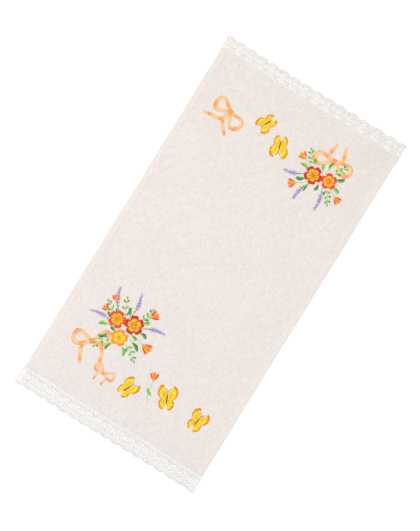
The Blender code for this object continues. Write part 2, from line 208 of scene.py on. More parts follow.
def woven_linen():
    """Half-bleached linen, plain woven from uneven yarn: matt, faintly streaked both ways.

    The yarns are 0.7 mm apart, and each crossing is a small crown, sqrt(|sin x * sin y|), that
    darkens into the gaps round it, in the bump and as painted shade in the colour. Slubs are thick
    stretches of yarn, drawn 2 mm wide and 13 mm long, which is as coarse as they need to be to
    show. The yarn's hue wavers between cool and warm, and from 100 to 320 mm past the middle the
    far end is painted darker and warmer: painted shade.
    """
    material, tree, shader = new_material("plain_woven_linen", {
        "Roughness": 0.88, "Specular IOR Level": 0.25, "Sheen Weight": 0.12,
        "Sheen Roughness": 0.5})
    place = add(tree, "TexCoord").outputs["Object"]
    split = add(tree, "SeparateXYZ", {0: place})

    def streaks(scale, detail):
        stretched = add(tree, "Mapping", {"Vector": place, "Scale": scale})
        return add(tree, "TexNoise", {"Vector": stretched, "Scale": 1.0, "Detail": detail,
                                      "Roughness": 0.6})

    def yarns(axis):
        turns = add(tree, "Math", {0: split.outputs[axis], 1: math.pi / YARN_GAP},
                    operation="MULTIPLY")
        return add(tree, "Math", {0: turns}, operation="SINE")

    slubs = add(tree, "Math", {0: streaks((520.0, 75.0, 40.0), 2.0),
                               1: streaks((75.0, 520.0, 40.0), 2.0)}, operation="ADD")
    cloudy = streaks((16.0, 11.0, 10.0), 3.0)
    weave = add(tree, "Math", {0: yarns("X"), 1: yarns("Y")}, operation="MULTIPLY")
    weave = add(tree, "Math", {0: weave}, operation="ABSOLUTE")
    weave = add(tree, "Math", {0: weave, 1: 0.5}, operation="POWER")

    # Painted shade: from 100 to 320 mm past the middle, the far end's colour is made darker and
    # warmer.
    far_end_painted_shade = add(tree, "MapRange", {"Value": split.outputs["Y"], "From Min": 100 * MM,
                                        "From Max": 320 * MM})
    tone = add(tree, "Math", {0: cloudy, 1: 0.3, 2: slubs}, operation="MULTIPLY_ADD")
    # The yarn crowns darken the colour into the gaps between yarns: painted shade, besides the bump
    # below.
    tone = add(tree, "Math", {0: weave, 1: 0.6, 2: tone}, operation="MULTIPLY_ADD")
    tone = add(tree, "Math", {0: far_end_painted_shade, 1: -0.10, 2: tone}, operation="MULTIPLY_ADD")
    tone = add(tree, "MapRange", {"Value": tone, "From Min": 1.10, "From Max": 1.94})
    hue = add(tree, "Math", {0: far_end_painted_shade, 1: 0.12, 2: streaks((640.0, 130.0, 90.0), 1.0)},
              operation="MULTIPLY_ADD")
    hue = add(tree, "MapRange", {"Value": hue, "From Min": 0.3, "From Max": 0.7})
    across = add(tree, "Math", {0: split.outputs["X"]}, operation="ABSOLUTE")
    hem_edge = TOWEL_HALF_WIDTH - HEM_WIDTH
    hem = add(tree, "MapRange", {"Value": across, "From Min": hem_edge - HEM_BLUR,
                                 "From Max": hem_edge + HEM_BLUR})

    cool, warm, folded = [
        add(tree, "Mix", {"Factor": tone, 6: hex_colour(shaded), 7: hex_colour(lit)},
            data_type="RGBA").outputs[2]
        for shaded, lit in LINEN_SHADES]
    field = add(tree, "Mix", {"Factor": hue, 6: cool, 7: warm}, data_type="RGBA").outputs[2]
    colour = add(tree, "Mix", {"Factor": hem, 6: field, 7: folded}, data_type="RGBA").outputs[2]
    tree.links.new(colour, shader.inputs["Base Color"])

    relief = add(tree, "Math", {0: weave, 1: 0.5, 2: slubs}, operation="MULTIPLY_ADD")
    bump = add(tree, "Bump", {"Height": relief, "Strength": 0.35, "Distance": 0.25 * MM})
    tree.links.new(bump.outputs[0], shader.inputs["Normal"])
    return material


cloth = closed_sheet("linen_cloth", *cloth_grid())
cloth.data.materials.append(woven_linen())
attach(cloth, "root")
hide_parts("linen_panel")


# The lace at the near end: machine-made cotton torchon edging, worked throughout from one soft
# thread. Woven trails and twisted plaits frame a row of daisies between the scalloped edge and a
# header with eyelets, which is sewn on top of the cloth. The strip's ends are turned under.
NEAR_TIP_OVERHANG = 2.2 * MM           # the near strip sticks out past the cloth, most at its tips
OVERHANG = 0.4 * MM
HALF_LACE = TOWEL_HALF_WIDTH + NEAR_TIP_OVERHANG
COTTON_WIDE = 0.74 * MM
COTTON_HIGH = 0.50 * MM
FLAT_SHARE = 0.62                      # of a thread's width, flattened on top by pressing
LENGTHWISE_GAP = 0.77 * MM             # spacing of the threads that run along a trail
CROSSWISE_GAP = 0.92 * MM              # spacing of the threads that cross it
LEAF_GAP = 0.56 * MM                   # spacing of the threads across a woven leaf or petal
CORD_TWIST = 2.7 * MM
TURNED_UNDER = 10.0 * MM
EDGE_SQUEEZE = 1.4 * MM
BEYOND = 4.0 * MM                      # threads run on past the strip's end and are squeezed in
COTTON_TURN = 0.9 * MM                 # length of one turn of the cotton's own twist
OVER_AND_UNDER = 0.12 * MM             # a woven thread's way above and below the middle
BAR_LIFT = 0.06 * MM
PLAIT_LOOSE = 0.32 * MM
LEAF_ARCH = 0.26 * MM
CORD_WIDE, CORD_HIGH = 0.72 * MM, 0.60 * MM
CORD_INSET = 0.35 * MM
DAISY_PETALS = 8
PETAL_SHARE = 0.30                     # a petal's greatest half width, as a share of its length
DAISY_RING = 1.35 * MM                 # radius of the ring at a daisy's middle
RING_POINTS = 12
RING_LIFT = 0.12 * MM
BAND_WIDE, BAND_GAP = 2.1 * MM, 2.5 * MM
BAND_LEVEL = 0.30 * MM
NEAR_SCALLOP_DEPTH = 3.5 * MM
NEAR_HEADER = 33.4 * MM                # scallop tips to the header's inner edge
NEAR_DAISY = 17.5 * MM
DAISY_PITCH = 21.8 * MM
NEAR_CLIMB_START = 24.4 * MM
NEAR_CLIMB_END = 28.1 * MM
LACE_MIDDLE = 0.62 * MM                # height of the threads' centres above what they lie on
HEADER_CLEAR = 0.15 * MM               # keeps the header just above the cloth's unevenness


def near_valleys():
    """Where scallops meet: a 21.77 mm pitch, eased on unevenly by a slow wave of 0.9 mm."""
    x = (-164.1 + 21.77 * np.arange(-2, 18)) * MM
    return x + 0.9 * MM * np.cos(2 * np.pi * (x + 40 * MM) / (185 * MM))


def near_rise(x, reach):
    """Height of what the near lace lies on: the floor, then the cloth, and over the hems more."""
    on_hem = smooth((np.abs(x) - (TOWEL_HALF_WIDTH - HEM_WIDTH) + 1.2 * MM) / (1.5 * MM))
    height = CLOTH_THICK + HEADER_CLEAR + on_hem * (HEM_THICK - CLOTH_THICK)
    return height * smooth((reach - NEAR_CLIMB_START) / (NEAR_CLIMB_END - NEAR_CLIMB_START))


def daisy_wave(x, valleys):
    """0 where scallops meet and 1 at a scallop's middle: (1 - cos(2 pi s)) / 2."""
    phase = np.interp(x, valleys, np.arange(len(valleys)))
    return 0.5 - 0.5 * np.cos(2 * np.pi * phase)


def scallop(x, valleys, depth):
    """How far the edge is drawn in: depth * |2s - 1| ^ 2.2 across one scallop."""
    phase = np.interp(x, valleys, np.arange(len(valleys))) % 1.0
    return depth * np.abs(2 * phase - 1) ** 2.2


def squeezed(x, half):
    """X drawn in where it runs past the strip's end: it nears the end as 1 - exp(-excess)."""
    excess = np.maximum(np.abs(x) - (half - EDGE_SQUEEZE), 0) / EDGE_SQUEEZE
    return np.sign(x) * (np.minimum(np.abs(x), half - EDGE_SQUEEZE)
                         + EDGE_SQUEEZE * (1 - np.exp(-excess)))


def line(reach, share=0.0, follow=np.zeros_like):
    """A line along the lace, as a function of x: a reach in millimetres, plus share * follow(x)."""
    return lambda x: reach * MM + share * follow(x)


def pairs(x, reach):
    """Points of a plan, (n, 2), from x and one reach or an array of them."""
    return np.stack([x, np.broadcast_to(reach, x.shape)], -1)


def leftward(run):
    """Unit vectors in the plan at right angles to each run, on its left."""
    length = np.maximum(np.linalg.norm(run, axis=-1, keepdims=True), 1e-6)
    return np.stack([-run[..., 1], run[..., 0]], -1) / length


class Threads:
    """Gathers cotton threads in lace coordinates (x, reach, height), then makes them one mesh."""

    def __init__(self):
        self.points, self.faces, self.marks, self.count = [], [], [], 0

    def add(self, path, side, wide=COTTON_WIDE, high=COTTON_HIGH, ring=False):
        """Adds n threads of m stations: a section with a flattened top is carried along each path.

        It is wide below and FLAT_SHARE of that above, and as high as said. Each face corner is
        marked with its distance along the thread and its share of the way round.
        """
        n, m = path.shape[:2]
        sideways = side * np.broadcast_to(wide, (n, m))[..., None] / 2
        upward = np.array([0.0, 0.0, 1.0]) * np.broadcast_to(high, (n, m))[..., None] / 2
        corner = np.stack([path - sideways - upward, path + sideways - upward,
                           path + FLAT_SHARE * sideways + upward,
                           path - FLAT_SHARE * sideways + upward], 2)
        steps = np.linalg.norm(np.roll(path, -1, axis=1) - path, axis=-1)
        after = np.cumsum(steps, axis=1)
        before = after - steps
        index = self.count + np.arange(n * m * 4).reshape(n, m, 4)
        ahead = np.roll(index, -1, axis=1)
        quads = np.stack([index, np.roll(index, -1, 2), np.roll(ahead, -1, 2), ahead], -1)
        lengthwise = np.stack([before, before, after, after], -1)[:, :, None]
        turn = np.arange(4) / 4
        round_it = np.stack([turn, turn + 0.25, turn + 0.25, turn], -1)
        mark = np.stack(np.broadcast_arrays(lengthwise, round_it), -1)
        if not ring:
            quads, mark = quads[:, :-1], mark[:, :-1]
            caps = np.concatenate([index[:, 0, ::-1], index[:, -1]])
            self.faces.append(caps)
            self.marks.append(np.zeros(caps.shape + (2,)))
        self.faces.append(quads.reshape(-1, 4))
        self.marks.append(mark.reshape(-1, 4, 2))
        self.points.append(corner.reshape(-1, 3))
        self.count += n * m * 4

    def bars(self, start, end, wide=COTTON_WIDE, height=LACE_MIDDLE, arch=0.0, stations=2):
        """Adds straight threads from start to end, both (n, 2), that rise by arch * sin(pi s).

        Each is raised by its own share of BAR_LIFT, so that no two that overlap share a plane.
        """
        share = np.linspace(0, 1, stations)[None, :, None]
        flat = start[:, None] * (1 - share) + end[:, None] * share
        side = np.pad(leftward(end - start), ((0, 0), (0, 1)))[:, None]
        lift = BAR_LIFT * ((np.arange(len(start)) * 0.618 + self.count * 0.137) % 1.0)
        rise = height + arch * np.sin(np.pi * share) + lift[:, None, None]
        path = np.concatenate([flat, np.broadcast_to(rise, flat.shape[:2] + (1,))], -1)
        self.add(path, np.broadcast_to(side, path.shape), wide)

    def trail(self, upper, lower, threads=0):
        """Adds a woven trail along the lace between two lines, given as reach against x.

        The threads that run along it pass over and under those that cross it: thread j at crossing
        k is above the middle where j + k is even, and as much below it elsewhere. Unless threads
        says how many run along it, they lie LENGTHWISE_GAP apart.
        """
        x = np.arange(-HALF_LACE - BEYOND, HALF_LACE + BEYOND, CROSSWISE_GAP)
        top, bottom = upper(x), lower(x)
        threads = threads or max(int(round(np.mean(bottom - top) / LENGTHWISE_GAP)), 2)
        share = np.linspace(0, 1, threads)[:, None]
        inset = COTTON_WIDE / 2
        reach = (top + inset) * (1 - share) + (bottom - inset) * share
        over = OVER_AND_UNDER * (1 - 2 * ((np.arange(threads)[:, None] + np.arange(len(x))) % 2))
        path = np.stack(np.broadcast_arrays(x, reach, LACE_MIDDLE + over), -1)
        self.add(path, np.broadcast_to([0.0, 1.0, 0.0], path.shape))
        self.bars(pairs(x, top), pairs(x, bottom))

    def ties(self, spacing, upper, lower, wide, start=0.0):
        """Adds ties between two lines, one every spacing: each is two threads side by side."""
        x = np.arange(-HALF_LACE - BEYOND + start, HALF_LACE + BEYOND, spacing)
        for hand in (-1, 1):
            shifted = x + hand * wide / 4
            self.bars(pairs(shifted, upper(x)), pairs(shifted, lower(x)), wide / 1.8)

    def plaits(self, start, end, turns=2.0, loose=PLAIT_LOOSE):
        """Adds pairs of threads twisted about each other from start to end.

        A thread lies loose * cos(a) beside the middle line and half as much * sin(a) above it; the
        angle a makes so many turns, and the second thread is half a turn behind.
        """
        share = np.linspace(0, 1, int(turns * 5) + 1)[None, :, None]
        flat = start[:, None] * (1 - share) + end[:, None] * share
        side = leftward(end - start)[:, None]
        across = np.pad(side, ((0, 0), (0, 0), (0, 1)))
        for lag in (0.0, np.pi):
            angle = 2 * np.pi * turns * share + lag
            aside = flat + side * loose * np.cos(angle)
            rise = np.broadcast_to(LACE_MIDDLE + loose / 2 * np.sin(angle), flat.shape[:2] + (1,))
            path = np.concatenate([aside, rise], -1)
            self.add(path, np.broadcast_to(across, path.shape))

    def leaves(self, start, end, half_wide, plump=np.ones_like):
        """Adds woven leaves from start to end: threads cross each and arch over its middle.

        A leaf's half width is half_wide * plump(s), where s runs from 0 to 1 along it.
        """
        run = end - start
        count = int(np.linalg.norm(run, axis=1).mean() / LEAF_GAP)
        share = (np.arange(count) + 0.5) / count
        middle = start[:, None] + run[:, None] * share[None, :, None]
        half_wide = np.broadcast_to(half_wide, (len(start),))[:, None, None]
        half = leftward(run)[:, None] * half_wide * plump(share)[:, None]
        self.bars((middle - half).reshape(-1, 2), (middle + half).reshape(-1, 2),
                  COTTON_WIDE * 1.1, LACE_MIDDLE - 0.02 * MM, LEAF_ARCH, 3)

    def piece(self, name, outward, rise, tip_overhang, header):
        """The finished mesh: reach becomes Y, and each point stands on what lies under it.

        outward is -1 at the near end and 1 at the far end, where each face is turned over to point
        outwards again. The strip sticks out by tip_overhang at its tips and OVERHANG at its header.
        """
        x, reach, height = np.concatenate(self.points).T
        overhang = tip_overhang + (OVERHANG - tip_overhang) * np.clip(reach / header, 0, 1)
        x = squeezed(x, TOWEL_HALF_WIDTH + overhang)
        y = askew(x, outward * (TOWEL_HALF_LENGTH - reach))
        turn = 1 if outward < 0 else -1
        faces = np.concatenate(self.faces)[:, ::turn]
        marks = np.concatenate(self.marks)[:, ::turn]
        piece = new_piece(name, np.stack([x, y, height + rise(x, reach)], -1), faces)
        along_thread = piece.data.uv_layers.new(name="thread")
        along_thread.data.foreach_set("uv", marks.astype(np.float32).ravel())
        return piece


def on_strip(x, beyond=BEYOND):
    """Those of the places x that lie on the strip or just past its ends."""
    return x[np.abs(x) < HALF_LACE + beyond]


def daisies(threads, centres, reach, sizes):
    """Woven petals round a ring at each centre.

    A petal's half width is PETAL_SHARE * size * sin(pi (0.14 + 0.76 s))^0.6 * (0.40 + 0.60 s).
    """
    turn = 2 * np.pi * (np.arange(DAISY_PETALS) + 0.5) / DAISY_PETALS
    x, angle = [a.ravel() for a in np.meshgrid(centres, turn, indexing="ij")]
    size = np.repeat(sizes, DAISY_PETALS)[:, None]
    heading = np.stack([np.cos(angle), np.sin(angle)], -1)
    threads.leaves(pairs(x, reach) + heading * DAISY_RING, pairs(x, reach) + heading * size,
                   PETAL_SHARE * size[:, 0],
                   lambda s: np.sin(np.pi * (0.14 + 0.76 * s)) ** 0.6 * (0.40 + 0.60 * s))
    around = 2 * np.pi * np.arange(RING_POINTS) / RING_POINTS
    spoke = np.stack([np.cos(around), np.sin(around), np.zeros(RING_POINTS)], -1)
    ring_level = np.full((len(centres), 1), LACE_MIDDLE + RING_LIFT)
    middle = np.concatenate([pairs(centres, reach), ring_level], -1)
    path = middle[:, None] + DAISY_RING * spoke
    threads.add(path, np.broadcast_to(-spoke, path.shape), ring=True)


def edge_cord(threads, valleys, depth, loose):
    """The scalloped outer cord: two threads wound about each other, so that it is finely knobbed.

    They lie loose * cos(2 pi x / CORD_TWIST) to either side of the cord's middle, and half as much
    times the sine above and below it.
    """
    x = np.arange(-HALF_LACE - BEYOND, HALF_LACE + BEYOND, CORD_TWIST / 6)
    reach = CORD_INSET + loose + scallop(x, valleys, depth)
    across = np.stack([-np.gradient(reach, x), np.ones_like(x), np.zeros_like(x)], -1)
    across /= np.linalg.norm(across, axis=1, keepdims=True)
    for lag in (0.0, np.pi):
        angle = 2 * np.pi * x / CORD_TWIST + lag
        path = np.stack([x, reach, LACE_MIDDLE + loose / 2 * np.sin(angle)], -1)
        path = path + across * loose * np.cos(angle)[:, None]
        threads.add(path[None], across[None], CORD_WIDE, CORD_HIGH)


def turned_under(threads, header):
    """The second layer at each end of the strip: flat bands that lie below the pattern."""
    for side in (-1, 1):
        x = side * (HALF_LACE - np.arange(1.2 * MM, TURNED_UNDER, BAND_GAP))
        start, end = pairs(x, 3.6 * MM), pairs(x, header - 1.0 * MM)
        threads.bars(start, end, BAND_WIDE, BAND_LEVEL, stations=16)


def near_lace_threads():
    """The near strip, from its cord inwards: reaches are in millimetres from the scallops' tips."""
    threads = Threads()
    valleys = near_valleys()
    centres = on_strip((valleys[:-1] + valleys[1:]) / 2, 7 * MM)
    between = on_strip(valleys)

    def wave(x):
        return daisy_wave(x, valleys)

    def drawn(x):
        return scallop(x, valleys, NEAR_SCALLOP_DEPTH)

    # The cord, two scalloped trails inside it, a trail on either side of the daisies, the header.
    edge_cord(threads, valleys, NEAR_SCALLOP_DEPTH, 0.42 * MM)
    threads.trail(line(1.8, 0.97, drawn), line(3.75, 0.9, drawn))
    threads.ties(2.15 * MM, line(3.4, 0.9, drawn), line(4.9, 0.75, drawn), 1.35 * MM)
    threads.trail(line(4.55, 0.8, drawn), line(7.3, 0.4, drawn))
    threads.trail(line(12.9, -1.4 * MM, wave), lambda x: 15.2 * MM - 2.6 * MM * wave(x) ** 1.5)
    threads.trail(lambda x: 20.4 * MM + 2.2 * MM * wave(x) ** 1.4, line(25.3))
    threads.trail(line(26.75), line(29.2))
    threads.ties(1.81 * MM, line(28.9), line(30.6), 1.6 * MM, 0.9 * MM)
    threads.trail(line(30.2), line(NEAR_HEADER / MM))

    # A fan of ten plaits spreads from each daisy to its scallop; a looser one parts two fans.
    daisies(threads, centres, NEAR_DAISY, np.full(len(centres), 6.1 * MM))
    for share in (np.arange(10) + 0.5) / 10 * 2 - 1:
        head = on_strip(centres + share * 10.6 * MM)
        foot = head - share * 1.0 * MM
        threads.plaits(pairs(foot, 13.5 * MM - 1.4 * MM * wave(foot)),
                       pairs(head, 6.7 * MM + 0.35 * drawn(head)))
    threads.plaits(pairs(between, 13.5 * MM), pairs(between, 7.9 * MM), loose=0.5 * MM)

    # An upright woven leaf stands on either side of each daisy, and one lies between two daisies.
    for side in (-1, 1):
        column = on_strip(centres + side * 7.2 * MM)
        threads.leaves(pairs(column, 13.8 * MM), pairs(column, 21.4 * MM), 1.4 * MM,
                       lambda s: 1 - 0.25 * np.sin(np.pi * s))
    threads.leaves(pairs(between - 3.4 * MM, 17.85 * MM), pairs(between + 3.4 * MM, 17.85 * MM),
                   1.45 * MM)

    # Four groups of five bars in each repeat leave the eyelets between them.
    quarter = np.arange(4)[None] / 4
    eyelet_bar = on_strip((valleys[:-1, None] + np.diff(valleys)[:, None] * quarter).ravel())
    for shift in (-1.88, -0.94, 0.0, 0.94, 1.88):
        threads.bars(pairs(eyelet_bar + shift * MM, 24.9 * MM),
                     pairs(eyelet_bar + shift * MM, 27.2 * MM), 0.9 * MM)
    turned_under(threads, NEAR_HEADER)
    return threads


def cotton_thread(name, dull, bright):
    """Matt white cotton, softly twisted: each thread shows a fine slanting line at every turn.

    A turn takes 0.9 mm, read from the piece's own UV map: distance along a thread, and share of the
    way round it. The line is bump, and painted shade too: the colour darkens along it. Single
    threads differ a little in whiteness.
    """
    material, tree, shader = new_material(name, {
        "Roughness": 0.85, "Specular IOR Level": 0.3, "Sheen Weight": 0.15})
    split = add(tree, "SeparateXYZ", {0: add(tree, "UVMap", uv_map="thread")})
    turns = add(tree, "Math", {0: split.outputs["X"], 1: 1 / COTTON_TURN, 2: split.outputs["Y"]},
                operation="MULTIPLY_ADD")
    slant = add(tree, "Math", {0: turns, 1: 2 * math.pi}, operation="MULTIPLY")
    strand = add(tree, "Math", {0: slant}, operation="SINE")
    place = add(tree, "TexCoord").outputs["Object"]
    uneven = add(tree, "TexNoise", {"Vector": place, "Scale": 420.0, "Detail": 2.0})
    # Painted shade: the twist line darkens the colour in the grooves, as well as the bump.
    tone = add(tree, "Math", {0: strand, 1: 0.12, 2: uneven}, operation="MULTIPLY_ADD")
    colour = add(tree, "Mix", {"Factor": tone, 6: hex_colour(dull), 7: hex_colour(bright)},
                 data_type="RGBA").outputs[2]
    tree.links.new(colour, shader.inputs["Base Color"])
    bump = add(tree, "Bump", {"Height": strand, "Strength": 0.35, "Distance": 0.06 * MM})
    tree.links.new(bump.outputs[0], shader.inputs["Normal"])
    return material


near_lace = near_lace_threads().piece("lace_near_threads", -1, near_rise,
                                     NEAR_TIP_OVERHANG, NEAR_HEADER)
near_lace.data.materials.append(cotton_thread("white_cotton_thread", "#F5F2EF", "#FFFDFB"))
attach(near_lace, "root")
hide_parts("lace_near")


# The lace at the far end: the same kind of edging, eased on a little wider and sewn under the
# cloth's end, so that its header is hidden and its daisies sit close to the cloth.
FAR_SCALLOP_DEPTH = 3.4 * MM
FAR_HEADER = 31.7 * MM
FAR_DAISY = 12.2 * MM
FAR_WIDE_FROM = 13                     # the valley past the one wide scallop, and those after it
FAR_WIDE_EXTRA = 5.2 * MM


def far_valleys():
    """Where scallops meet: the pitch grows from about 21.2 mm, and one near the corner is wide."""
    index = np.arange(-2, 17)
    x = (-161.8 + 21.56 * index + 0.0945 * index ** 2) * MM
    return x + np.where(index >= FAR_WIDE_FROM, FAR_WIDE_EXTRA, 0.0)


def flat_rise(x, reach):
    """Height of what the far lace lies on: the floor, all over."""
    return np.zeros_like(x)


def far_lace_threads():
    """The far strip, from its cord inwards. A daisy is as large as its scallop's width allows."""
    threads = Threads()
    valleys = far_valleys()
    centres = (valleys[:-1] + valleys[1:]) / 2
    sizes = np.minimum(6.1 * MM * np.diff(valleys) / DAISY_PITCH, 6.9 * MM)

    def wave(x):
        return daisy_wave(x, valleys)

    def drawn(x):
        return scallop(x, valleys, FAR_SCALLOP_DEPTH)

    # The cord, the scalloped trails inside it, the ties to the daisies, and the header.
    edge_cord(threads, valleys, FAR_SCALLOP_DEPTH, 0.55 * MM)
    threads.trail(line(1.8, 0.95, drawn), line(4.1, 0.85, drawn))
    threads.ties(1.95 * MM, line(3.8, 0.85, drawn), line(5.6, 0.6, drawn), 1.2 * MM)
    threads.trail(line(5.3, 0.6, drawn), line(8.9, -2.2 * MM, wave))
    threads.ties(2.2 * MM, line(8.6, -2.2 * MM, wave), line(9.9, -2.2 * MM, wave), 1.3 * MM)
    threads.ties(2.3 * MM, line(14.3, 3.4 * MM, wave), line(16.2, 3.4 * MM, wave), 1.3 * MM,
                 1.4 * MM)
    threads.trail(line(15.7, 3.2 * MM, wave), line(22.0))
    threads.ties(1.85 * MM, line(21.7), line(23.2), 1.6 * MM, 0.7 * MM)
    threads.trail(line(22.9), line(26.4))
    threads.trail(line(26.6), line(FAR_HEADER / MM), 4)

    # Two woven leaves lie one above the other between each daisy and the next.
    shown = np.abs(centres) < HALF_LACE + 7 * MM
    daisies(threads, centres[shown], FAR_DAISY, sizes[shown])
    left, right = centres[:-1] + sizes[:-1], centres[1:] - sizes[1:]
    shown = (left < HALF_LACE + BEYOND) & (right > -HALF_LACE - BEYOND)
    for reach in (10.55 * MM, 13.6 * MM):
        threads.leaves(pairs(left[shown], reach), pairs(right[shown], reach), 1.35 * MM)
    return threads


far_lace = far_lace_threads().piece("lace_far_threads", 1, flat_rise, OVERHANG, FAR_HEADER)
far_lace.data.materials.append(cotton_thread("creamy_cotton_thread", "#F3EFEB", "#FDF9F5"))
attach(far_lace, "root")
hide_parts("lace_far")


# The embroidery: rayon thread in satin, stem and fishbone stitch, worked on the cloth. The design
# is a plain folk one: at each end a posy of wild roses, buds, leaves and lavender, with ribbon
# bows and small butterflies beside it.
THREAD_WIDE = 0.60 * MM
THREAD_HIGH = 0.30 * MM
STITCH_STEP = 0.48 * MM                # spacing of stitches that lie side by side
STITCH_UNEVEN = 0.05 * MM
POSY_LIFT = 0.12 * MM                  # the posies lie over the ribbons' ends
ROSE_PETALS = 5
PETAL_SPREAD = 0.97                    # of a petal's share of the round; the rest is the gap
LAVENDER_WHORLS = 8
CRIMSON, RED, FLAME, ORANGE = "#D0140E", "#FA2410", "#FF6412", "#FF9C10"
YELLOW, LEMON, CREAM = "#FFD000", "#FFE636", "#FFF3A0"
DARK_GREEN, MID_GREEN, LIGHT_GREEN = "#2E7A32", "#6FB03C", "#A5D45A"
LILAC, DEEP_LILAC, APRICOT, DEEP_APRICOT = "#CFC0FF", "#9A88E4", "#FFCB92", "#F7A658"
BROWN, OLIVE = "#7A4E34", "#5E6426"
LEAF_SHADES = [(DARK_GREEN, MID_GREEN), (MID_GREEN, LIGHT_GREEN), (DARK_GREEN, LIGHT_GREEN)]
# The rim, flush, glow and heart of a red rose, an orange one and a crimson one.
ROSE_SHADES = [(RED, FLAME, ORANGE, YELLOW), (ORANGE, FLAME, YELLOW, LEMON),
               (CRIMSON, RED, FLAME, YELLOW)]


def carried(start, end, share, across):
    """Plan points, (n, m, k, 2), of k-cornered sections carried straight from start to end.

    share says how far along each of the m sections stands, and across how far to the left of the
    middle line each of the k corners lies.
    """
    run = end - start
    flat = start[:, None] + run[:, None] * share[None, :, None]
    return flat[:, :, None] + leftward(run)[:, None, None] * across[None, None, :, None]


def separate_threads(name, points):
    """One mesh of n separate threads with closed ends, from the (n, m, k, 3) points of sections."""
    n, m, k = points.shape[:3]
    index = np.arange(n * m * k).reshape(n, m, k)
    after = np.roll(index, -1, axis=2)
    quads = np.stack([index[:, :-1], index[:, 1:], after[:, 1:], after[:, :-1]], -1)
    faces = np.concatenate([quads.reshape(-1, 4), index[:, 0], index[:, -1, ::-1]])
    return new_piece(name, points.reshape(-1, 3), faces)


class Stitches:
    """Gathers straight stitches (start, end, colour, lift) and makes them one mesh."""

    def __init__(self, seed):
        self.starts, self.ends, self.colours, self.lifts = [], [], [], []
        self.random = np.random.default_rng(seed)

    def add(self, start, end, colour, lift=0.0, shade=0.05):
        """Adds n stitches in one colour or n; each varies a little in lightness and in height."""
        start, end = np.atleast_2d(start), np.atleast_2d(end)
        if isinstance(colour, str):
            colour = np.tile(hex_colour(colour)[:3], (len(start), 1))
        vary = 1 + self.random.normal(0, shade, (len(start), 1))
        self.starts.append(start)
        self.ends.append(end)
        self.colours.append(np.clip(colour * vary, 0, 1))
        self.lifts.append(lift + self.random.uniform(0, STITCH_UNEVEN, len(start)))

    def mixed(self, count, first, second, share):
        """Colours for count stitches: the second one for a share of them, picked at random."""
        pick = self.random.random((count, 1)) < share
        return np.where(pick, hex_colour(second)[:3], hex_colour(first)[:3])

    def piece(self, name, base):
        """One mesh: a flattened thread goes into the cloth at both ends and arches between them."""
        start, end = np.concatenate(self.starts), np.concatenate(self.ends)
        section = np.array([[-0.5, 0.0], [-0.30, 0.85], [0.30, 0.85], [0.5, 0.0]])
        arch = np.array([-0.4, 1.0, 1.0, -0.4])
        place = carried(start, end, np.array([0.0, 0.22, 0.78, 1.0]), section[:, 0] * THREAD_WIDE)
        x, y = place[..., 0], place[..., 1]
        crown = THREAD_HIGH * section[:, 1] + THREAD_HIGH * 0.4 * arch[None, :, None]
        height = crown + base(x, y) + np.concatenate(self.lifts)[:, None, None]
        points = np.stack([x, askew(x, y), height], -1)
        piece = separate_threads(name, points)
        n, m, k = points.shape[:3]
        tint = np.ones((n, m * k, 4), np.float32)
        tint[..., :3] = np.concatenate(self.colours)[:, None]
        own_colour = piece.data.attributes.new("thread_colour", "FLOAT_COLOR", "POINT")
        own_colour.data.foreach_set("color", tint.ravel())
        return piece


def turned(points, angle):
    """Points turned about the origin by an angle in degrees."""
    c, s = math.cos(math.radians(angle)), math.sin(math.radians(angle))
    return np.asarray(points) @ np.array([[c, s], [-s, c]])


def polar(angle, radius):
    """Points at an angle in radians and a radius."""
    return np.stack([np.cos(angle), np.sin(angle)], -1) * np.asarray(radius)[..., None]


def curve(start, end, bow, count=24):
    """A path from start to end, bowed sideways by bow * sin(pi s)."""
    start, end = np.asarray(start), np.asarray(end)
    share = np.linspace(0, 1, count)[:, None]
    run = end - start
    return start + run * share + leftward(run) * bow * np.sin(np.pi * share)


def along(path, spacing):
    """Points at an even spacing along a path, how far along each lies, and the whole length."""
    path = np.asarray(path)
    steps = np.concatenate([[0], np.cumsum(np.linalg.norm(np.diff(path, axis=0), axis=1))])
    at = np.arange(0, steps[-1], spacing)
    return np.stack([np.interp(at, steps, path[:, i]) for i in (0, 1)], -1), at, steps[-1]


